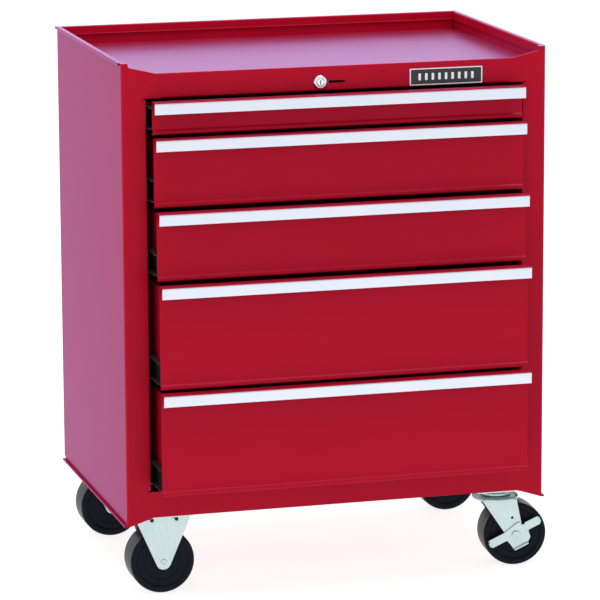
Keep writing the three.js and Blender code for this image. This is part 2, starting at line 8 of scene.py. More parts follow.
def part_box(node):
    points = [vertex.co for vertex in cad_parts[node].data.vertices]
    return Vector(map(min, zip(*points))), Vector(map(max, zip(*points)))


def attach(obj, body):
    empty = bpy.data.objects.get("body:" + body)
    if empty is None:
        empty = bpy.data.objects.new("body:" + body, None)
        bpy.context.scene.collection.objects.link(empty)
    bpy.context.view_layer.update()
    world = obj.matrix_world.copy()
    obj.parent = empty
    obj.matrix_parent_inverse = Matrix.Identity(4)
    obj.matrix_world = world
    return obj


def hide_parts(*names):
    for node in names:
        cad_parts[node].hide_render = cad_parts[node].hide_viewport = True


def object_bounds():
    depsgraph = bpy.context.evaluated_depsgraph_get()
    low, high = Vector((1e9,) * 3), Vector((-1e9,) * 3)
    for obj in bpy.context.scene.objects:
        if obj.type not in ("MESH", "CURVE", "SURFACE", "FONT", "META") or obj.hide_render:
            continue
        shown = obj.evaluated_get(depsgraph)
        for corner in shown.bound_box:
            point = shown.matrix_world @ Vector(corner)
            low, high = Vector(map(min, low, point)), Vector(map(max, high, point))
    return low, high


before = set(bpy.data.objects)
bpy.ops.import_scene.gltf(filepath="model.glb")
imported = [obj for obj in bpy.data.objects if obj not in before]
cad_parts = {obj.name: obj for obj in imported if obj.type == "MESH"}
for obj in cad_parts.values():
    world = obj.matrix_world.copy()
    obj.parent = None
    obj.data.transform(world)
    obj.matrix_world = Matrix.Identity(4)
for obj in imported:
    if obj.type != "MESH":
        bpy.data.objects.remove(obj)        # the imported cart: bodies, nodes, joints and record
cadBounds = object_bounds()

# Lengths below are in millimetres. addPiece turns them into metres.
millimetre = 0.001


def corners(node):
    low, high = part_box(node)
    return Vector(low) / millimetre, Vector(high) / millimetre


def middle(node):
    low, high = corners(node)
    return (low + high) / 2


# Where the cabinet's sheets stand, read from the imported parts
panelLow, panelHigh = corners("side_panel_right")
headerLow, headerHigh = corners("header_rail")
railLow, railHigh = corners("bottom_rail")
body = {
    "sheet": 1.2,
    "gap": 0.3,
    "rollOut": 3.2,        # how far the rim stands out from the sides
    "column": 38.0,
    "ear": 24.0,
    "return": 18.0,
    "flare": 4.5,          # the columns widen by this at the foot
    "capWidth": 10.5,
    "chamferRun": 43.0,
    "chamferRise": 10.5,
    "cornerBend": 3.6,
    "skirt": 6.5,          # the skins stop this far above the feet
}
body["x"] = (headerLow.x + headerHigh.x) / 2
body["half"] = panelHigh.x - body["rollOut"] - body["x"]
body["front"] = headerLow.y
body["back"] = corners("back_panel")[1].y - body["rollOut"]
body["top"] = panelHigh.z
body["foot"] = panelLow.z
body["pan"] = railLow.z
body["openLow"] = railHigh.z
body["openHigh"] = headerLow.z
body["header"] = headerHigh.z
body["tray"] = corners("top_tray")[0].z + body["sheet"]
body["railEnd"] = body["half"] - body["column"] - body["ear"] - body["gap"]
across, deep, up = Vector((1, 0, 0)), Vector((0, 1, 0)), Vector((0, 0, 1))


# Meshes
def basis(origin, first, second, third):
    columns = [Vector(axis) for axis in (first, second, third)]
    return Matrix.Translation(origin) @ Matrix(columns).transposed().to_4x4()


def rounded(points, radius=0.0, steps=5, closed=True):
    # each point is (x, y), or (x, y, radius) where it has its own
    made = []
    for index, point in enumerate(points):
        here = Vector(point[:2])
        own = point[2] if len(point) > 2 else radius
        isEnd = not closed and index in (0, len(points) - 1)
        if own <= 0 or isEnd:
            made.append(tuple(here))
            continue
        back = Vector(points[index - 1][:2]) - here
        ahead = Vector(points[(index + 1) % len(points)][:2]) - here
        half = back.angle(ahead) / 2
        reach = min(own / math.tan(half), 0.49 * back.length, 0.49 * ahead.length)
        toHub = (back.normalized() + ahead.normalized()).normalized()
        hub = here + toHub * (reach / math.cos(half))
        start = here + back.normalized() * reach - hub
        end = here + ahead.normalized() * reach - hub
        turn = math.atan2(start.x * end.y - start.y * end.x, start.dot(end))
        for step in range(steps + 1):
            angle = turn * step / steps
            c, s = math.cos(angle), math.sin(angle)
            spoke = (start.x * c - start.y * s, start.x * s + start.y * c)
            made.append((hub.x + spoke[0], hub.y + spoke[1]))
    return made


def circle(x, y, radius, steps=32):
    angles = [2 * math.pi * step / steps for step in range(steps)]
    return [(x + radius * math.cos(a), y + radius * math.sin(a)) for a in angles]


def rectangle(x, y):
    return [(x[0], y[0]), (x[1], y[0]), (x[1], y[1]), (x[0], y[1])]


def flatSolid(loops, thickness, edge):
    # a flat sheet with holes and softened edges, lying round z 0
    curve = bpy.data.curves.new("flat", "CURVE")
    curve.dimensions = "2D"
    curve.fill_mode = "BOTH"
    curve.extrude = thickness / 2 - edge
    curve.bevel_depth = edge
    curve.offset = -edge
    curve.bevel_resolution = 1
    for loop in loops:
        spline = curve.splines.new("POLY")
        spline.points.add(len(loop) - 1)
        for point, (u, v) in zip(spline.points, loop):
            point.co = (u, v, 0, 1)
        spline.use_cyclic_u = True
    holder = bpy.data.objects.new("flat", curve)
    bpy.context.scene.collection.objects.link(holder)
    graph = bpy.context.evaluated_depsgraph_get()
    mesh = bpy.data.meshes.new_from_object(holder.evaluated_get(graph))
    bm = bmesh.new()
    bm.from_mesh(mesh)
    bpy.data.objects.remove(holder)
    bpy.data.curves.remove(curve)
    bpy.data.meshes.remove(mesh)
    bmesh.ops.remove_doubles(bm, verts=bm.verts, dist=1e-4)
    return bm


def foldedSheet(loops, thickness, bends, place, edge=0.25, steps=5):
    # bends run from the outermost in. Each has its axis, its place, the side that turns, its
    # degrees and radius, and a test of what takes part where some of the sheet stays flat
    bm = flatSolid(loops, thickness, edge)
    for axis, at, _, degrees, radius, *_ in bends:
        reach = radius * math.tan(math.radians(abs(degrees)) / 2)
        normal = (1, 0, 0) if axis == 0 else (0, 1, 0)
        for step in range(steps + 1):
            where = [0, 0, 0]
            where[axis] = at + reach * (2 * step / steps - 1)
            geometry = bm.verts[:] + bm.edges[:] + bm.faces[:]
            bmesh.ops.bisect_plane(bm, geom=geometry, dist=1e-4, plane_co=where, plane_no=normal)
    homes = [vert.co.copy() for vert in bm.verts]
    for axis, at, beyond, degrees, radius, *takesPart in bends:
        turn = math.radians(abs(degrees))
        reach = radius * math.tan(turn / 2)
        sign = math.copysign(1, degrees)
        for vert, home in zip(bm.verts, homes):
            out = (home[axis] - at) * beyond + reach
            if out <= 1e-4 or takesPart and not takesPart[0](home.x, home.y):
                continue
            angle = turn * min(out / (2 * reach), 1)
            beyondBend = (vert.co[axis] - at) * beyond - reach if out > 2 * reach - 1e-4 else 0
            arm = radius - vert.co.z * sign
            along = arm * math.sin(angle) + beyondBend * math.cos(angle)
            rise = radius - arm * math.cos(angle) + beyondBend * math.sin(angle)
            vert.co[axis] = at + beyond * (along - reach)
            vert.co.z = rise * sign
    bm.transform(place)
    return bm


def plate(loops, thickness, place, edge=0.4):
    bm = flatSolid(loops, thickness, edge)
    bm.transform(place)
    return bm


def sheetRun(points, thickness, ends, place, radius=1.0, steps=5):
    # a bent strip: its middle line in a plane, run between two ends along the third axis
    line = [Vector(point) for point in rounded(points, radius, steps, closed=False)]
    headings = [(b - a).normalized() for a, b in zip(line, line[1:])]
    sides = ([], [])
    for index, point in enumerate(line):
        before = headings[max(index - 1, 0)]
        after = headings[min(index, len(headings) - 1)]
        heading = (before + after).normalized()
        normal = Vector((-heading.y, heading.x)) * thickness / 2 / heading.dot(after)
        sides[0].append(point + normal)
        sides[1].append(point - normal)
    bm = bmesh.new()
    rings = [[[bm.verts.new((*point, end)) for point in side] for side in sides] for end in ends]
    loops = [ring[0] + ring[1][::-1] for ring in rings]
    count = len(loops[0])
    for index in range(count):
        follow = (index + 1) % count
        bm.faces.new((loops[0][index], loops[0][follow], loops[1][follow], loops[1][index]))
    for loop in loops:
        for index in range(len(line) - 1):
            opposite = count - 1 - index
            bm.faces.new((loop[index], loop[index + 1], loop[opposite - 1], loop[opposite]))
    bm.transform(place)
    return bm


def turned(profile, place, steps=48):
    # profile of (radius, height), from axis to axis or closed on itself
    bm = bmesh.new()
    rings = []
    for radius, height in profile:
        if radius < 1e-6:
            rings.append([bm.verts.new((0, 0, height))])
            continue
        rings.append([bm.verts.new((x, y, height)) for x, y in circle(0, 0, radius, steps)])
    pairs = list(zip(rings, rings[1:]))
    if len(rings[0]) > 1:
        pairs.append((rings[-1], rings[0]))
    for a, b in pairs:
        for step in range(steps):
            follow = (step + 1) % steps
            face = [a[step % len(a)], a[follow % len(a)], b[follow % len(b)], b[step % len(b)]]
            bm.faces.new(list(dict.fromkeys(face)))
    bm.transform(place)
    return bm


def addPiece(name, parts, material, bodyName, replaced=(), edgeAngle=32):
    whole = bmesh.new()
    for part in parts:
        bmesh.ops.recalc_face_normals(part, faces=part.faces)
        single = bpy.data.meshes.new("part")
        part.to_mesh(single)
        part.free()
        whole.from_mesh(single)
        bpy.data.meshes.remove(single)
    whole.transform(Matrix.Scale(millimetre, 4))
    mesh = bpy.data.meshes.new(name)
    whole.to_mesh(mesh)
    whole.free()
    mesh.shade_smooth()
    mesh.set_sharp_from_angle(angle=math.radians(edgeAngle))
    piece = bpy.data.objects.new(name, mesh)
    bpy.context.scene.collection.objects.link(piece)
    piece.data.materials.append(material)
    # the wide flat faces keep their own direction, and only the bends are smoothed
    weigh = piece.modifiers.new("Weigh", "WEIGHTED_NORMAL")
    weigh.weight = 100
    weigh.keep_sharp = True
    if replaced:
        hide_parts(*replaced)
    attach(piece, bodyName)
    return piece


# Materials
class Wire:
    # a socket that can stand in a sum

    def __init__(self, tree, socket=None):
        self.tree = tree
        self.socket = socket

    def node(self, kind, settings=None, sockets=None, out=0):
        made = self.tree.nodes.new(kind)
        for name, value in (settings or {}).items():
            if name == "stops":
                ramp = made.color_ramp.elements
                while len(ramp) < len(value):
                    ramp.new(0.5)
                for element, (at, colour) in zip(ramp, value):
                    element.position = at
                    element.color = (*colour, 1)
            else:
                setattr(made, name, value)
        for name, value in (sockets or {}).items():
            if isinstance(value, Wire):
                self.tree.links.new(value.socket, made.inputs[name])
            else:
                made.inputs[name].default_value = value
        return Wire(self.tree, made.outputs[out]) if made.outputs else None

    def maths(self, operation, first, second):
        return self.node("ShaderNodeMath", {"operation": operation}, {0: first, 1: second})

    def __add__(self, other):
        return self.maths("ADD", self, other)

    def __sub__(self, other):
        return self.maths("SUBTRACT", self, other)

    def __rsub__(self, other):
        return self.maths("SUBTRACT", other, self)

    def __mul__(self, other):
        return self.maths("MULTIPLY", self, other)

    def __pow__(self, other):
        return self.maths("POWER", self, other)

    def __rpow__(self, other):
        return self.maths("POWER", other, self)

    __radd__ = __add__
    __rmul__ = __mul__


def newMaterial(name):
    material = bpy.data.materials.new(name)
    material.use_nodes = True
    material.node_tree.nodes.clear()
    return material, Wire(material.node_tree)


def place3d(wire, stretch=(1, 1, 1)):
    spot = wire.node("ShaderNodeTexCoord", out="Object")
    return wire.node("ShaderNodeVectorMath", {"operation": "MULTIPLY"}, {0: spot, 1: stretch})


def noise(wire, spot, scale, detail=3.0, roughness=0.5):
    sockets = {"Vector": spot, "Scale": scale, "Detail": detail, "Roughness": roughness}
    return wire.node("ShaderNodeTexNoise", None, sockets)


def blendColour(wire, share, first, second):
    mix = wire.node("ShaderNodeMix", {"data_type": "RGBA"}, {0: share}).socket.node
    for name, value in (("A", first), ("B", second)):
        plug = [s for s in mix.inputs if s.name == name and s.type == "RGBA"][0]
        if isinstance(value, Wire):
            wire.tree.links.new(value.socket, plug)
        else:
            plug.default_value = (*value, 1)
    return Wire(wire.tree, [s for s in mix.outputs if s.type == "RGBA"][0])


def mapRange(wire, value, low, high):
    return wire.node("ShaderNodeMapRange", None, {"Value": value, "From Min": low, "From Max": high})


def bump(wire, height, strength, distance):
    sockets = {"Height": height, "Strength": strength, "Distance": distance}
    return wire.node("ShaderNodeBump", None, sockets)


def finishMaterial(material, wire, sockets):
    shader = wire.node("ShaderNodeBsdfPrincipled", None, sockets)
    wire.node("ShaderNodeOutputMaterial", None, {"Surface": shader})
    return material


def paintMaterial():
    paint = {
        "deep": (0.385, 0.0012, 0.0115),
        "light": (0.425, 0.002, 0.0155),
        "dust": (0.5, 0.2, 0.28),
        "glare": (0.24, 0.33, 0.86),
        "paleGlare": (0.28, 0.36, 0.9),
        "glareRise": 9,        # how late and how strongly the glare comes in
        "glareGain": 1.9,
    }
    material, wire = newMaterial("red gloss paint")
    spot = place3d(wire)
    cloud = noise(wire, spot, 9.0, 4.0)
    peel = noise(wire, spot, 620.0, 2.0)
    ripple = noise(wire, spot, 45.0, 2.0)
    speck = noise(wire, spot, 1500.0, 1.0) ** 14 * 22
    colour = blendColour(wire, cloud, paint["deep"], paint["light"])
    colour = blendColour(wire, speck * 0.05, colour, paint["dust"])
    normal = bump(wire, peel * 0.6 + ripple, 0.1, 0.0005)
    rough = 0.26 + cloud * 0.1
    facing = wire.node("ShaderNodeLayerWeight", None, {"Blend": 0.5}, out="Facing")
    straight = wire.node("ShaderNodeBsdfPrincipled", None, {
        "Base Color": colour,
        "Roughness": rough,
        "Specular IOR Level": 0.25,
        "Specular Tint": (1.0, 0.32, 0.6, 1),
        "Normal": normal,
    })
    aslant = wire.node("ShaderNodeBsdfPrincipled", None, {
        "Base Color": colour,
        "Roughness": rough,
        "Specular IOR Level": 0.0,
        "Normal": normal,
    })
    # seen along its length the gloss coat turns a cool lilac
    glare = wire.node("ShaderNodeBsdfPrincipled", None, {
        "Base Color": blendColour(wire, cloud, paint["glare"], paint["paleGlare"]),
        "Metallic": 1.0,
        "Roughness": 0.3 + cloud * 0.06,
        "Normal": normal,
    })
    tilt = mapRange(wire, facing, 0.35, 0.7)
    under = wire.node("ShaderNodeMixShader", None, {0: tilt, 1: straight, 2: aslant})
    share = facing ** paint["glareRise"] * paint["glareGain"]
    mixed = wire.node("ShaderNodeMixShader", None, {0: share, 1: under, 2: glare})
    wire.node("ShaderNodeOutputMaterial", None, {"Surface": mixed})
    return material


def trimMaterial():
    material, wire = newMaterial("satin bright strip")
    grain = noise(wire, place3d(wire, (6, 260, 260)), 9.0, 4.0, 0.6)
    cloud = noise(wire, place3d(wire), 14.0)
    colour = blendColour(wire, cloud, (0.70, 0.755, 0.85), (0.77, 0.815, 0.89))
    return finishMaterial(material, wire, {
        "Base Color": colour,
        "Metallic": 0.92,
        "Roughness": 0.26 + grain * 0.14,
        "Normal": bump(wire, grain, 0.1, 0.0002),
    })


def zincMaterial(name, tone, rough):
    material, wire = newMaterial(name)
    spot = place3d(wire)
    streak = noise(wire, place3d(wire, (220, 220, 10)), 5.0, 4.0, 0.6)
    cloud = noise(wire, spot, 38.0, 3.0)
    fine = noise(wire, spot, 900.0, 2.0)
    cool = tuple(part * scale for part, scale in zip(tone, (0.84, 0.93, 0.95)))
    colour = blendColour(wire, cloud, cool, tone)
    colour = blendColour(wire, streak ** 3 * 0.7, colour, tuple(part * 0.7 for part in tone))
    return finishMaterial(material, wire, {
        "Base Color": colour,
        "Metallic": 0.88,
        "Roughness": rough + streak * 0.16 - cloud * 0.08,
        "Normal": bump(wire, streak + fine * 0.5, 0.12, 0.00025),
    })


def chromeMaterial():
    material, wire = newMaterial("lock chrome")
    cloud = noise(wire, place3d(wire), 180.0, 3.0)
    return finishMaterial(material, wire, {
        "Base Color": blendColour(wire, cloud, (0.78, 0.79, 0.8), (0.9, 0.91, 0.92)),
        "Metallic": 1.0,
        "Roughness": 0.1 + cloud * 0.1,
        "Normal": bump(wire, cloud, 0.06, 0.0002),
    })


def darkMaterial(name, colour, rough):
    material, wire = newMaterial(name)
    cloud = noise(wire, place3d(wire), 240.0, 3.0)
    lighter = tuple(part * 1.9 + 0.004 for part in colour)
    return finishMaterial(material, wire, {
        "Base Color": blendColour(wire, cloud ** 2, colour, lighter),
        "Metallic": 0.5,
        "Roughness": rough + cloud * 0.15,
        "Normal": bump(wire, cloud, 0.1, 0.0002),
    })


def rubberMaterial():
    material, wire = newMaterial("hard black tyre")
    spot = place3d(wire)
    mottle = noise(wire, spot, 60.0, 4.0, 0.6)
    grit = noise(wire, spot, 1100.0, 2.0)
    return finishMaterial(material, wire, {
        "Base Color": blendColour(wire, mottle, (0.004, 0.0045, 0.0085), (0.010, 0.012, 0.021)),
        "Roughness": 0.26 + mottle * 0.16,
        "Specular IOR Level": 0.09,
        "Specular Tint": (0.8, 0.88, 1.0, 1),
        "Normal": bump(wire, grit + mottle, 0.14, 0.0003),
    })


def badgeMaterial():
    material, wire = newMaterial("badge enamel")
    grit = noise(wire, place3d(wire), 700.0, 2.0)
    return finishMaterial(material, wire, {
        "Base Color": blendColour(wire, grit, (0.008, 0.008, 0.01), (0.018, 0.016, 0.018)),
        "Roughness": 0.22 + grit * 0.12,
        "Normal": bump(wire, grit, 0.05, 0.0002),
    })


red = paintMaterial()
bright = trimMaterial()
zinc = zincMaterial("zinc plated steel", (0.60, 0.70, 0.69), 0.24)
# the slides and lock parts sit deep in the drawer gaps: their steel is coloured near black, painted
# shade
slideZincPaintedShade = zincMaterial("slide steel painted dark as shade", (0.13, 0.135, 0.14), 0.32)
chrome = chromeMaterial()
# the caster bolts under the apron are coloured near black, painted shade
boltSteelPaintedShade = darkMaterial("bolt steel painted dark as shade", (0.03, 0.03, 0.035), 0.3)
# the key slot is a near-black plate, painted shade standing in for the slot's hollow
keySlotPaintedShade = darkMaterial("key slot painted shade", (0.004, 0.004, 0.005), 0.6)
rubber = rubberMaterial()
enamel = badgeMaterial()
print("materials made")


# Cabinet
rim = {"height": 4.0, "in": 6.0, "hem": 14.0, "setback": 13.0, "bend": 1.3}


def rimBends(lowest, takesPart=lambda u, v: True):
    # the sheet's top goes out, up, back in over itself and down again
    t = body["sheet"]
    over = body["rollOut"] + rim["in"] - t
    heights = [lowest, body["rollOut"], rim["height"] - t, over]
    ats = [sum(heights[:count + 1]) for count in range(4)]
    bends = [(1, at, 1, turn, rim["bend"], takesPart) for at, turn in zip(ats, (-90, 90, 90, 90))]
    return bends[::-1], ats[3] + rim["hem"] - t / 2


def sideSkin(side):
    # u is 0 at the front corner: the side lies below it and the column's face above
    t, gap = body["sheet"], body["gap"]
    half = t / 2
    skinBack = body["back"] - t - gap
    skinEnd = skinBack - body["front"] - half
    rear = skinEnd - half              # where the rear column turns in
    rimFront = rim["setback"] - half
    rimEnd = body["back"] + body["rollOut"] - body["front"] - half
    hemEnd = skinEnd - t - gap
    column = body["column"] - t
    inward = column + body["return"]
    foot = body["column"] + body["flare"] - half
    ear = body["column"] + body["ear"] - half
    cap = body["capWidth"] - half
    shoulder = body["header"] + body["chamferRise"]
    low, high = body["openLow"], body["openHigh"]
    notch = 4.0
    slack = 1.5
    lowSkin = body["foot"] + body["skirt"]
    skirtEnd = 6.5                     # the skirt's cut stops this far behind the corner
    topEdge = body["top"] - t
    rimLow = body["top"] - rim["height"] + half
    rolls, rimTop = rimBends(rimLow, lambda u, v: u < 0.5 - rimFront)
    rollStart = rimTop - rim["hem"]
    outline = [
        (-skinEnd, lowSkin, 3), (-skirtEnd, lowSkin, 2), (-skirtEnd, body["foot"], 0),
        (0, body["foot"]), (foot, body["pan"], 1), (ear, body["pan"], 1.5), (ear, low, 0.6),
        (column - notch, low), (column - notch, low + slack), (inward, low + slack, 2),
        (inward, high - slack, 2), (column - notch, high - slack), (column - notch, high),
        (ear, high, 0.6), (ear, body["header"], 1), (cap + body["chamferRun"], body["header"], 5),
        (cap, shoulder, 3), (cap, topEdge, 1), (1 - rimFront, topEdge, 1),
        (1 - rimFront, rimLow - 3), (-rimFront, rimLow - 3), (-rimFront, rimTop, 2),
        (-hemEnd, rimTop, 2), (-hemEnd, rollStart, 1), (-rimEnd, rollStart, 1),
        (-rimEnd, rimLow + 2, 1), (-skinEnd, rimLow + 2, 1), (-skinEnd, high, 1),
        (-rear + 3, high), (-rear + 3, high - slack), (-rear - inward, high - slack, 2),
        (-rear - inward, low + slack, 2), (-rear + 3, low + slack), (-rear + 3, low),
        (-skinEnd, low, 1),
    ]

    def inOpening(u, v):
        return low + half < v < high - half

    def isReturn(u, v):
        return inOpening(u, v) and u > 0

    bends = [
        *rolls,
        (0, column, 1, 90, 1.5, isReturn),
        (0, -rear - column, -1, 90, 1.5, inOpening),
        (0, -rear, -1, 90, 2.0, inOpening),
        (0, 0, 1, 90, body["cornerBend"]),
    ]
    origin = (body["x"] + side * (body["half"] - half), body["front"] + half, 0)
    place = basis(origin, -deep, up, -side * across)
    return foldedSheet([rounded(outline, steps=3)], t, bends, place)


def cornerLid(side):
    t = body["sheet"]
    edge = body["x"] + side * body["half"]
    inner = edge - side * body["capWidth"]
    front = body["front"]
    back = front + rim["setback"] + t
    loop = rounded([
        (edge, front, body["cornerBend"]), (inner, front, 1.5), (inner, back, 2.5), (edge, back, 1.2),
    ], steps=4)
    return plate([loop], t, basis((0, 0, body["top"] - t / 2), across, deep, up), 0.45)


def chamferHem(side):
    # the folded edge along the ear's top and up the chamfer
    t = body["sheet"]
    half = t / 2
    ear = body["column"] + body["ear"] - half
    cap = body["capWidth"] - half
    low = body["header"] - half
    line = [(ear, low), (cap + body["chamferRun"], low), (cap, low + body["chamferRise"])]
    place = basis((body["x"] + side * (body["half"] - half), 0, 0), -side * across, up, deep)
    return sheetRun(line, t, (body["front"] + t, body["front"] + 2.3 * t), place, 3)


def backSkin():
    t, gap = body["sheet"], body["gap"]
    half = t / 2
    hemEnd = body["half"] - rim["in"] - gap
    rimLow = body["top"] - rim["height"] + half
    rolls, rimTop = rimBends(rimLow)
    low = body["foot"] + body["skirt"]
    shoulder = rimLow - 2.6
    outline = rounded([
        (-body["half"], low, 3), (body["half"], low, 3), (body["half"], shoulder, 1),
        (hemEnd, shoulder, 0.5), (hemEnd, rimTop, 2), (-hemEnd, rimTop, 2),
        (-hemEnd, shoulder, 0.5), (-body["half"], shoulder, 1),
    ], steps=3)
    place = basis((body["x"], body["back"] - half, 0), across, up, -deep)
    return foldedSheet([outline], t, rolls, place)


def hemEdge():
    # a rounded bead along the lower edge of the back's hem
    radius = 1.2
    end = body["half"] - rim["in"] - body["gap"]
    profile = [(0, -end), (radius, -end), (radius, end), (0, end)]
    at = (body["x"], body["back"] - rim["in"] + body["sheet"] / 2, body["top"] - rim["hem"] + 0.9)
    return turned(profile, basis(at, deep, up, across), 20)


def barGuides():
    t, gap = body["sheet"], body["gap"]
    half = t / 2
    guides = {"inset": 60, "height": 20, "lip": 3, "barSetback": 20.5}
    barLow, barHigh = corners("lock_bar")
    faceY = body["back"] - t - guides["barSetback"] - gap - half
    parts = []
    for z in (body["openLow"] + guides["inset"], body["openHigh"] - guides["inset"]):
        ends = (z - guides["height"] / 2, z + guides["height"] / 2)
        for side in (-1, 1):
            inner = middle("lock_bar").x + side * ((barHigh.x - barLow.x) / 2 + gap)
            wall = inner + side * half
            run = [(inner - side * guides["lip"], faceY), (wall, faceY), (wall, body["back"] - t)]
            parts.append(sheetRun(run, t, ends, basis((0, 0, 0), across, deep, up), 1.2))
    return parts


def trayShell():
    t, gap = body["sheet"], body["gap"]
    half = t / 2
    bend = 1.6
    sideX = body["half"] - t - gap - half
    backY = body["back"] - t - gap - half
    frontY = body["front"] + 2 * t + 2 * gap + half
    sideTop = body["top"] - rim["height"] - gap - (body["tray"] - half)
    frontTop = body["header"] - 1.5 - (body["tray"] - half)
    depth = backY - frontY
    rest = bend + 0.25
    outline = [
        (-sideX + rest, -frontTop, 1), (sideX - rest, -frontTop, 1), (sideX - rest, rest),
        (sideX + sideTop, rest, 1), (sideX + sideTop, depth - rest, 1), (sideX - rest, depth - rest),
        (sideX - rest, depth + sideTop, 1), (-sideX + rest, depth + sideTop, 1),
        (-sideX + rest, depth - rest), (-sideX - sideTop, depth - rest, 1),
        (-sideX - sideTop, rest, 1), (-sideX + rest, rest),
    ]
    bends = [(0, sideX, 1, 90, bend), (0, -sideX, -1, 90, bend),
             (1, depth, 1, 90, bend), (1, 0, -1, 90, bend)]
    place = basis((body["x"], frontY, body["tray"] - half), across, deep, up)
    return [foldedSheet([rounded(outline, steps=2)], t, bends, place)]


def frontRail(low, high, isHeader):
    t, gap = body["sheet"], body["gap"]
    half = t / 2
    end = body["railEnd"] + gap - 0.04
    lip = 12.0
    hem = 6.0
    lapFace = body["front"] + t + gap + half
    if isHeader:
        # the top folds back and down again, and the face is cut for the lock and a plain slot
        lockX, lockZ = middle("lock_plug").x - body["x"], middle("lock_plug").z
        lockHole = 8.6
        slotEnds, slotHalf = (-15, 12.8), 1.8
        top = high - half
        fold = top + 1.6
        outline = rounded([(-end, low + half - lip, 1), (end, low + half - lip, 1),
                           (end, fold + hem, 0.5), (-end, fold + hem, 0.5)], steps=2)
        bends = [(1, fold, 1, 90, 0.75), (1, top, 1, 90, 0.75), (1, low + half, -1, 90, 1.4)]
        slot = rounded(rectangle(slotEnds, (lockZ - slotHalf, lockZ + slotHalf)), 1.7, 4)
        loops = [outline, circle(lockX, lockZ, lockHole), slot]
    else:
        loops = [rectangle((-end, end), (low, high - half + lip))]
        bends = [(1, high - half, 1, 90, 1.4)]
    place = basis((body["x"], body["front"] + half, 0), across, up, deep)
    parts = [foldedSheet(loops, t, bends, place)]
    for side in (-1, 1):
        span = sorted((side * (end - 6), side * (end + 22)))
        lap = [rounded(rectangle(span, (low + 2.5, high - 7)), 2)]
        parts.append(plate(lap, t, basis((body["x"], lapFace, 0), across, up, deep), 0.3))
    return parts


for side, name in ((-1, "left"), (1, "right")):
    parts = [sideSkin(side), cornerLid(side), chamferHem(side)]
    addPiece(f"side_shell_{name}", parts, red, "cabinet", [f"side_panel_{name}"])
backParts = [backSkin(), hemEdge(), *barGuides()]
addPiece("back_shell", backParts, red, "cabinet", ["back_panel"])
addPiece("tray_shell", trayShell(), red, "cabinet", ["top_tray"])
headerParts = frontRail(body["openHigh"], body["header"], True)
addPiece("header_shell", headerParts, red, "cabinet", ["header_rail"])
bottomParts = frontRail(body["pan"], body["openLow"], False)
addPiece("bottom_shell", bottomParts, red, "cabinet", ["bottom_rail"])
print("cabinet built")


# Drawers
drawer = {
    "sheet": 1.0,
    "reach": 17.4,         # how far the pull stands out
    "drop": 17.2,
    "beadStep": 2.6,
    "beadHeight": 4.6,
    "boxInset": 8.1,       # the box is this much narrower than the front, each side
    "floorRise": 3.0,
    "wallDrop": 8.0,
    "hookRise": 14.0,
    "trimSheet": 0.9,
    "trimDrop": 1.9,
    "trimHeight": 16.8,
}


def drawerFront(low, high, halfWidth, place):
    t = drawer["sheet"]
    half = t / 2
    step = drawer["beadStep"] - half
    bead = drawer["beadHeight"]
    lip = drawer["reach"] - half
    line = [
        (5.5, low + half), (-step, low + half, 1.0), (-step, low + bead + 0.8, 0.9),
        (half, low + bead + 3.2, 0.9), (half, high - half, 1.3), (-lip, high - half, 1.2),
        (-lip, high - drawer["drop"]),
    ]
    return sheetRun(line, t, (-halfWidth, halfWidth), place, 1)


def drawerBox(low, high, halfWidth, depth, slotX):
    # one blank: the floor, both sides and the back, whose tops are hemmed
    t = drawer["sheet"]
    half = t / 2
    side = halfWidth - half
    floor = low + drawer["floorRise"] + half
    wall = high - drawer["wallDrop"] - floor - half
    fold = 1.3
    hem = 7.0
    rest = 1.15
    total = wall + fold + hem
    back = depth - half
    slotLow = wall - (high - drawer["wallDrop"] - low - drawer["hookRise"]) + 0.5
    slotHalf, slotLength = 6, 10
    outline = [
        (-side + rest, -1.4, 0.5), (side - rest, -1.4, 0.5), (side - rest, 1.2),
        (side + total, 1.2, 2), (side + total, back - rest - 3, 3), (side + 3, back - rest, 1),
        (side - rest, back - rest), (side - rest - 1, back + total, 2),
        (-side + rest + 1, back + total, 2), (-side + rest, back - rest),
        (-side - 3, back - rest, 1), (-side - total, back - rest - 3, 3), (-side - total, 1.2, 2),
        (-side + rest, 1.2),
    ]
    slotEnds = (back + slotLow - 1.5, back + slotLow + slotLength + 1.5)
    slot = rectangle((slotX - slotHalf, slotX + slotHalf), slotEnds)
    bends = []
    for axis, at, beyond in ((0, side, 1), (0, -side, -1), (1, back, 1)):
        for out in (wall + fold, wall):
            bends.append((axis, at + beyond * out, beyond, 90, 0.6))
        bends.append((axis, at, beyond, 90, 1.0))
    place = basis((0, 0, floor), across, deep, up)
    return foldedSheet([rounded(outline, steps=3), rounded(slot, 1, 3)], t, bends, place, 0.2, 4)


def trimStrip(high, halfWidth, place):
    t, gap = drawer["trimSheet"], body["gap"]
    half = t / 2
    face = -drawer["reach"] - gap - half
    inner = drawer["sheet"] - drawer["reach"] + gap + half
    top = high - drawer["trimDrop"]
    bottom = top - drawer["trimHeight"] + half
    line = [(face + 0.5, top), (face, top - 1.2, 1.2), (face, bottom, 1.1), (inner, bottom, 1.1),
            (inner, high - drawer["drop"] + 7)]
    return sheetRun(line, t, (-halfWidth, halfWidth), place, 1)


for number in range(1, 6):
    low, high = corners(f"drawer_{number}")
    trimHalf = (high.x - low.x) / 2
    faceY = low.y + drawer["reach"]
    section = basis((body["x"], faceY, 0), deep, up, across)
    slotX = middle("lock_bar").x - body["x"]
    box = drawerBox(low.z, high.z, trimHalf - drawer["boxInset"], high.y - faceY, slotX)
    box.transform(Matrix.Translation((body["x"], faceY, 0)))
    parts = [drawerFront(low.z, high.z, trimHalf, section), box]
    rider = f"drawer_{number}"
    addPiece(f"drawer_shell_{number}", parts, red, rider, [rider])
    strip = [trimStrip(high.z, trimHalf, section)]
    addPiece(f"trim_strip_{number}", strip, bright, rider, [f"drawer_trim_{number}"])
print("drawers built")


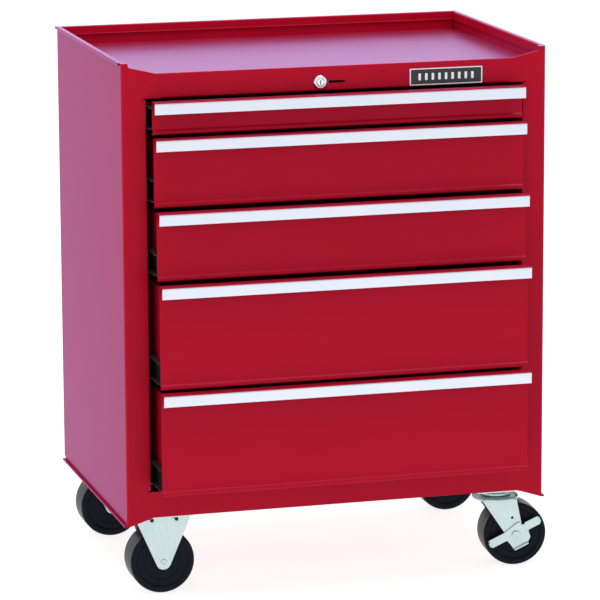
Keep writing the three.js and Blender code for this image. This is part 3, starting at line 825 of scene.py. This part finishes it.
# Lock and badge
lock = {"plug": 5.8, "bore": 6.1, "barrel": 8.3, "bezel": 10.5, "proud": 3.4}
lockAxis = middle("lock_plug")
lockFace = basis((lockAxis.x, body["front"], lockAxis.z), across, up, -deep)


def lockBezel():
    bore, barrel, bezel = lock["bore"], lock["barrel"], lock["bezel"]
    ring = rounded([
        (bore, -26), (barrel, -26, 0.5), (barrel, 0.4), (bezel, 0.4, 0.3), (bezel, 1.6, 1.2),
        (8.6, 3.0, 1.0), (6.9, 2.7, 0.5), (bore, 1.9, 0.4),
    ], steps=4)
    return turned(ring, lockFace)


def lockCore():
    plug, proud = lock["plug"], lock["proud"]
    profile = [(0, -27), (plug, -27, 0.4), (plug, 3.0, 0.5), (4.9, proud, 0.4), (0, proud)]
    return turned(rounded(profile, steps=3, closed=False), lockFace, 40)


def lockKeyway():
    # a thin near-black plate on the plug's face, painted shade where the key slot's hollow would be
    slot = rounded(rectangle((-0.8, 0.8), (-3.8, 3.8)), 0.5, 3)
    return plate([slot], 0.5, lockFace @ Matrix.Translation((0, 0, lock["proud"] - 0.1)), 0.1)


addPiece("lock_bezel", [lockBezel()], chrome, "cabinet", ["lock_housing"])
addPiece("lock_core", [lockCore()], chrome, "lock_plug", ["lock_plug"])
addPiece("lock_keyway", [lockKeyway()], keySlotPaintedShade, "lock_plug")

badge = {"border": 2.0, "bars": 9, "barWidth": 4.2, "barHeight": 11.0, "barPitch": 10.6}
badgeLow, badgeHigh = corners("badge_plate")
badgeMiddle = middle("badge_plate")
badgeFace = basis((badgeMiddle.x, badgeLow.y, badgeMiddle.z), across, up, -deep)


def badgeLoop(inset, radius):
    reach = badgeHigh - badgeMiddle
    width, height = reach.x - inset, reach.z - inset
    return rounded(rectangle((-width, width), (-height, height)), radius, 4)


def badgeLayer(loops, thickness, behind, edge):
    return plate(loops, thickness, badgeFace @ Matrix.Translation((0, 0, -behind)), edge)


def badgeBar(count):
    x = (count - (badge["bars"] - 1) / 2) * badge["barPitch"]
    half, height = badge["barWidth"] / 2, badge["barHeight"] / 2
    loop = rounded(rectangle((x - half, x + half), (-height, height)), 1.2, 4)
    return badgeLayer([loop], 0.9, 0.65, 0.25)


badgeFrame = badgeLayer([badgeLoop(0, 1.5), badgeLoop(badge["border"], 1.0)], 1.9, 1.0, 0.4)
badgeField = badgeLayer([badgeLoop(1.0, 1.0)], 1.2, 1.35, 0.1)
badgeBars = [badgeBar(count) for count in range(badge["bars"])]
addPiece("badge_field", [badgeField], enamel, "cabinet", ["badge_plate"])
addPiece("badge_border", [badgeFrame, *badgeBars], bright, "cabinet")
print("lock and badge built")


# Casters
caster = {
    "tyre": 50.8,
    "treadRadius": 60,     # the tread is slightly crowned
    "face": 25.4,
    "hub": 26.9,
    "legIn": 27.9,         # from the wheel's middle to a leg's inner face
    "leg": 2.5,
    "legBend": 3.2,
    "plate": 2.5,
    "plateX": 45.0,
    "plateY": 48.4,
    "boltX": 19.5,
    "boltY": 37.4,
    "axle": 4.0,
    "axleHole": 4.4,
    "rigidHalf": 44.5,
    "rigidBoss": 12,
    "forkHalf": 28.0,
    "forkBoss": 13,
    "trail": 27.0,
    "race": 13.4,
    "crown": 37.0,
    "leverRoom": 2.8,      # the brake lever sits between the front fork and its bolt head
}
legFace = caster["legIn"] + caster["leg"]
plateTop = body["pan"] - body["gap"]
plateLow = plateTop - caster["plate"]
raceLow = plateLow - caster["race"]
crownTop = raceLow - body["gap"]


def tyre(centre, axis):
    face, hub, wide = caster["face"], caster["hub"], caster["tyre"]
    half = [
        (4.3, hub, 0.5), (10.5, hub, 0.8), (12.6, hub - 1.0, 1.2), (14.0, face - 4.6, 1.5),
        (29.4, face - 4.2, 0.4), (30.3, face - 3.3, 0.5), (39.4, face - 2.8, 1.2),
        (41.4, face - 0.5, 1.0), (46.5, face, 2.0), (49.4, face - 0.9, 1.6),
        (50.6, face - 3.4, 2.0), (wide, 0, caster["treadRadius"]),
    ]
    other = [(radius, -height, *more) for radius, height, *more in half[-2::-1]]
    upright = Matrix.Translation(centre) @ axis.to_track_quat("Z", "Y").to_matrix().to_4x4()
    return turned(rounded(half + other, steps=4), upright, 96)


def threadedStub(x, y, top, bottom):
    radius, pitch, depth = 3.0, 1.0, 0.45
    points = [(0, top), (radius, top)]
    z = top
    while z > bottom + pitch:
        points += [(radius, z - 0.25 * pitch), (radius - depth, z - 0.6 * pitch)]
        z -= pitch
    points += [(radius - 0.5, z), (radius - 0.9, bottom), (0, bottom)]
    return turned(points, Matrix.Translation((x, y, 0)), 20)


def hexHead(x, y, low, high, radius):
    place = Matrix.Translation((x, y, (low + high) / 2))
    return plate([circle(0, 0, radius, 6)], high - low, place, 0.5)


def boltSet(centre, tail):
    # a stud down through each corner of the plate, with its head inside the base pan
    parts = []
    for x in (-caster["boltX"], caster["boltX"]):
        for y in (-caster["boltY"], caster["boltY"]):
            at = (centre.x + x, centre.y + y)
            parts.append(threadedStub(*at, plateTop + 1, plateLow - tail))
            parts.append(hexHead(*at, plateTop + 1.8, plateTop + 5.8, 5.8))
    return parts


def mountPlate(centre):
    halfX, halfY = caster["plateX"], caster["plateY"]
    loop = rounded(rectangle((-halfX, halfX), (-halfY, halfY)), 7, 6)
    place = Matrix.Translation((centre.x, centre.y, plateTop - caster["plate"] / 2))
    return plate([loop], caster["plate"], place, 0.5)


def legOutline(halfWidth, boss, radius, drop):
    # half a yoke seen square on: straight sides running down to a round end
    def touch(x, sign):
        away = math.hypot(x - boss, drop)
        base = math.atan2(drop, x - boss)
        return base - sign * math.acos(radius / away)

    start, end = touch(halfWidth, 1), touch(-halfWidth, -1)
    while end > start:
        end -= 2 * math.pi
    steps = 14
    angles = [start + (end - start) * step / steps for step in range(steps + 1)]
    return [(boss + radius * math.cos(a), -drop + radius * math.sin(a)) for a in angles]


def yoke(place, halfWidth, boss, radius, crownZ, axleZ, holes=()):
    # crown and both legs cut as one blank, then folded down along the wheel
    t = caster["leg"]
    mid = caster["legIn"] + t / 2
    drop = crownZ - axleZ
    lower = legOutline(halfWidth, boss, radius, drop)
    front = [(x, -mid + z) for x, z in lower]
    rear = [(x, mid - z) for x, z in lower][::-1]
    outline = [(halfWidth, -mid - 1), *front, (-halfWidth, -mid - 1),
               (-halfWidth, mid + 1), *rear, (halfWidth, mid + 1)]
    rings = [circle(boss, side * (mid + drop), caster["axleHole"], 24) for side in (-1, 1)]
    rings += [[(x, -mid + z) for x, z in hole] for hole in holes]
    bends = [(1, -mid, -1, -90, caster["legBend"]), (1, mid, 1, -90, caster["legBend"])]
    whole = place @ Matrix.Translation((0, 0, crownZ))
    return foldedSheet([outline, *rings], t, bends, whole, 0.55)


def rivetHead(place, face, outward, radius, height, dimple):
    # a headed axle end with a shallow dimple, standing on the leg's face
    profile = rounded([(0, -1.5), (radius, -1.5), (radius, 0.2, 0.3), (radius, height - 0.5, 0.6),
                       (radius - 0.9, height, 0.5), (dimple + 0.8, height, 0.3),
                       (dimple, height - 0.7, 0.4), (0, height - 0.8)], steps=3, closed=False)
    spin = place @ basis(face, (1, 0, 0), (0, 0, 1), (0, outward, 0))
    return turned(profile, spin, 32)


def axle(place, along, z, headSize, room=0):
    # a shaft through both legs with a head outside each, and room for a lever under the front one
    gap, radius = body["gap"], caster["axle"]
    near, far = -legFace - room, legFace
    heads = [rivetHead(place, (along, near - gap, z), -1, *headSize),
             rivetHead(place, (along, far + gap, z), 1, *headSize)]
    turnedAbout = place @ basis((along, 0, z), (1, 0, 0), (0, 0, -1), (0, 1, 0))
    return [*heads, turned([(0, near), (radius, near), (radius, far), (0, far)], turnedAbout, 24)]


def raceCup(place):
    cup = rounded([
        (6.3, raceLow, 0.5), (23.4, raceLow, 1.2), (25, raceLow + 1.6, 1.2),
        (25, raceLow + 4.2, 1.4), (22.6, raceLow + 6.4, 1.6), (22, plateTop - 2.3, 1.2),
        (6.3, plateTop - 2.3),
    ], steps=4)
    return turned(cup, place, 64)


def kingpinRivet(place):
    button = rounded([
        (0, crownTop - 6), (5.4, crownTop - 6), (8.4, crownTop - 4.6, 1.2),
        (8.4, crownTop - 3.4, 0.4), (6, crownTop - 3.3), (6, plateTop), (0, plateTop),
    ], steps=3, closed=False)
    return turned(button, place, 32)


def crownDish(place):
    crown = caster["crown"]
    dish = rounded([
        (6.3, crownTop - 3), (crown - 3.5, crownTop - 3, 1), (crown - 2.3, crownTop - 5.4, 0.5),
        (crown, crownTop - 5.4, 0.6), (crown, crownTop - 1.6, 1.8), (crown - 4.5, crownTop, 2),
        (6.3, crownTop),
    ], steps=4)
    return turned(dish, place, 72)


def springHoles(crownZ, axleZ):
    # a hole and a slanting slit in the front leg, above the axle, for the brake's spring
    x, z = caster["trail"] - 5.7, axleZ - crownZ + 28.3
    slant = math.radians(15)
    c, s = math.cos(slant), math.sin(slant)
    slit = [(x + aside * c - along * s, z + along * c + aside * s)
            for along, aside in ((-1.5, 0.65), (-11, 0.65), (-11, -0.65), (-1.5, -0.65))]
    return [circle(x, z, 2.0, 20), slit]


def forkPlace(name):
    # x runs from the kingpin towards the wheel
    pivot, hub = middle(f"kingpin_{name}"), middle(f"swivel_wheel_{name}")
    heading = Vector((hub.x - pivot.x, hub.y - pivot.y, 0)).normalized()
    return basis((pivot.x, pivot.y, 0), heading, up.cross(heading), up)


# Axle heads: radius, height and dimple
rivetSize = (4.9, 1.4, 2.0)
boltSize = (7.5, 3, 2.2)

for name in ("front", "rear"):
    wheel = f"rigid_wheel_{name}"
    hub = middle(wheel)
    here = Matrix.Translation((hub.x, hub.y, 0))
    legs = yoke(here, caster["rigidHalf"], 0, caster["rigidBoss"], plateLow - 1.4, hub.z)
    parts = [mountPlate(hub), legs]
    addPiece(f"rigid_yoke_{name}", parts, zinc, "cabinet", [f"rigid_frame_{name}"])
    addPiece(f"rigid_bolts_{name}", boltSet(hub, 8), boltSteelPaintedShade, "cabinet")
    pin = axle(here, 0, hub.z, rivetSize)
    addPiece(f"rigid_pin_{name}", pin, zinc, "cabinet", [f"rigid_axle_{name}"])
    addPiece(f"rigid_tyre_{name}", [tyre(hub, deep)], rubber, wheel, [wheel])

for name in ("front", "rear"):
    wheel = f"swivel_wheel_{name}"
    fork = f"swivel_fork_{name}"
    pivot, hub = middle(f"kingpin_{name}"), middle(wheel)
    here = forkPlace(name)
    parts = [mountPlate(pivot), raceCup(here)]
    addPiece(f"swivel_race_{name}", parts, zinc, "cabinet", [f"swivel_plate_{name}"])
    addPiece(f"swivel_bolts_{name}", boltSet(pivot, 1), boltSteelPaintedShade, "cabinet")
    rivet = [kingpinRivet(here)]
    addPiece(f"kingpin_rivet_{name}", rivet, zinc, "cabinet", [f"kingpin_{name}"])
    crownZ = crownTop - 1.5
    holes = springHoles(crownZ, hub.z)
    legs = yoke(here, caster["forkHalf"], caster["trail"], caster["forkBoss"], crownZ, hub.z, holes)
    addPiece(f"swivel_yoke_{name}", [legs, crownDish(here)], zinc, fork, [fork])
    room = caster["leverRoom"] if name == "front" else 0
    bolt = axle(here, caster["trail"], hub.z, boltSize, room)
    addPiece(f"swivel_bolt_{name}", bolt, zinc, fork, [f"swivel_axle_{name}"])
    tyres = [tyre(hub, here.col[1].xyz)]
    addPiece(f"swivel_tyre_{name}", tyres, rubber, wheel, [wheel])
print("casters built")


# Brake lever
def brakeLever():
    # a flat pedal with two bent-over ends and a tail below, set aslant on the axle bolt
    lever = {"sheet": 2.5, "tilt": 25, "arm": 44.3, "low": -1.5, "high": 12.5}
    arm, low, high = lever["arm"], lever["low"], lever["high"]
    outline = rounded([
        (-arm - 3, low + 4.5, 1.5), (-arm + 2, low, 3), (-17, low, 2), (-15, -8, 4), (-13, -19, 2),
        (-12.5, -25, 1.5), (12.5, -25, 1.5), (13, -19, 3), (20, -13, 5), (21, low, 2),
        (arm - 2, low, 3), (arm + 3, low + 4.5, 1.5), (arm + 3, high - 4.5, 1.5), (arm - 2, high, 3),
        (20.8, high, 0.5), (20.3, high - 1.8, 1.8), (15.7, high - 1.8, 1.8), (15.2, 16.8, 1.5),
        (9, 17.5, 2), (-14, high, 6), (-arm + 2, high, 3), (-arm - 3, high - 4.5, 1.5),
    ], steps=4)
    bends = [(1, -19.7, -1, -90, 1.6), (0, arm, 1, -90, 1.5), (0, -arm, -1, -90, 1.5)]
    face = -legFace - body["gap"] - lever["sheet"] / 2
    hub = Matrix.Translation((caster["trail"], 0, middle("swivel_wheel_front").z))
    tilted = forkPlace("front") @ hub @ Matrix.Rotation(-math.radians(lever["tilt"]), 4, (0, 1, 0))
    plane = tilted @ basis((0, face, 0), (1, 0, 0), (0, 0, 1), (0, 1, 0))
    blank = [outline, circle(0, 0, caster["axleHole"], 24)]
    return foldedSheet(blank, lever["sheet"], bends, plane, 0.55)


addPiece("brake_pedal", [brakeLever()], zinc, "brake_lever", ["brake_lever"], 28)
print("brake built")


# Parts kept as they are, with softened edges and a finish; the slides and lock parts get steel
# painted dark as shade
def keepNode(name, material, edge):
    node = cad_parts[name]
    node.data.materials.clear()
    node.data.materials.append(material)
    weld = node.modifiers.new("Weld", "WELD")
    weld.merge_threshold = 0.01 * millimetre
    soften = node.modifiers.new("Soften", "BEVEL")
    soften.width = edge * millimetre
    soften.segments = 2
    soften.limit_method = "ANGLE"
    soften.angle_limit = math.radians(40)
    soften.harden_normals = True


keepNode("base_pan", red, 0.3)
keepNode("lock_clip", slideZincPaintedShade, 0.2)
keepNode("lock_rod", slideZincPaintedShade, 0.3)
keepNode("lock_bar", slideZincPaintedShade, 0.3)
for number in range(1, 6):
    for side in ("left", "right"):
        keepNode(f"cabinet_slide_{number}_{side}", slideZincPaintedShade, 0.25)
        keepNode(f"drawer_slide_{number}_{side}", slideZincPaintedShade, 0.25)
print("kept parts finished")


# Floor, light and camera
def paleMaterial():
    material, wire = newMaterial("pale floor")
    cloud = noise(wire, place3d(wire), 1.5, 3.0)
    return finishMaterial(material, wire, {
        "Base Color": blendColour(wire, cloud, (0.30, 0.30, 0.30), (0.33, 0.33, 0.33)),
        "Roughness": 0.8 + cloud * 0.1,
        "Specular IOR Level": 0.1,
        "Emission Color": (1, 1, 1, 1),
        "Emission Strength": 0.85,
    })


def makeFloor():
    size = 30.0
    mesh = bpy.data.meshes.new("floor")
    corner = [(-size, -size, 0), (size, -size, 0), (size, size, 0), (-size, size, 0)]
    mesh.from_pydata(corner, [], [(0, 1, 2, 3)])
    floor = bpy.data.objects.new("floor", mesh)
    bpy.context.scene.collection.objects.link(floor)
    floor.data.materials.append(paleMaterial())


def areaLight(name, at, size, power):
    data = bpy.data.lights.new(name, "AREA")
    data.shape = "RECTANGLE"
    data.size, data.size_y = size
    data.energy = power
    light = bpy.data.objects.new(name, data)
    light.location = at
    aim = (cadBounds[0] + cadBounds[1]) / 2 - Vector(at)
    light.rotation_mode = "QUATERNION"
    light.rotation_quaternion = aim.to_track_quat("-Z", "Y")
    bpy.context.scene.collection.objects.link(light)


def makeLights():
    # even light all round, stronger behind the cart
    world = bpy.data.worlds.new("studio")
    bpy.context.scene.world = world
    world.use_nodes = True
    tree = world.node_tree
    tree.nodes.clear()
    wire = Wire(tree)
    heading = wire.node("ShaderNodeTexCoord", out="Generated")
    away = wire.node("ShaderNodeSeparateXYZ", None, {0: heading}, out="Y")
    colour = blendColour(wire, mapRange(wire, away, 0.0, 1.0), (0.62, 0.63, 0.65), (1.45, 1.47, 1.5))
    glow = wire.node("ShaderNodeBackground", None, {"Color": colour, "Strength": 1.0})
    wire.node("ShaderNodeOutputWorld", None, {"Surface": glow})
    areaLight("top", (0.0, -0.6, 3.2), (3.0, 1.6), 55)
    areaLight("key", (-2.4, -3.8, 2.6), (1.8, 1.8), 14)


def makeCamera():
    # a long lens, standing left of the cart's middle, out in front of it and above its foot
    view = {"turn": 15.61, "dip": 11.58, "roll": -0.275, "lens": 225.7}
    left, out, rise = 1583.4, 5681.5, 1501.3
    middleY = (body["front"] + body["back"]) / 2
    stand = Vector((body["x"] - left, middleY - out, body["foot"] + rise)) * millimetre
    turn, dip = math.radians(view["turn"]), math.radians(view["dip"])
    level = math.cos(dip)
    ahead = Vector((math.sin(turn) * level, math.cos(turn) * level, -math.sin(dip)))
    data = bpy.data.cameras.new("camera")
    data.sensor_width = 36
    data.lens = view["lens"]
    data.clip_end = 100
    camera = bpy.data.objects.new("camera", data)
    camera.location = stand
    camera.rotation_mode = "QUATERNION"
    tilt = Matrix.Rotation(math.radians(view["roll"]), 4, "Z").to_quaternion()
    camera.rotation_quaternion = ahead.to_track_quat("-Z", "Y") @ tilt
    bpy.context.scene.collection.objects.link(camera)
    bpy.context.scene.camera = camera


makeFloor()
makeLights()
makeCamera()
bpy.context.scene.view_settings.view_transform = "Standard"
print("stage set")

bpy.context.view_layer.update()
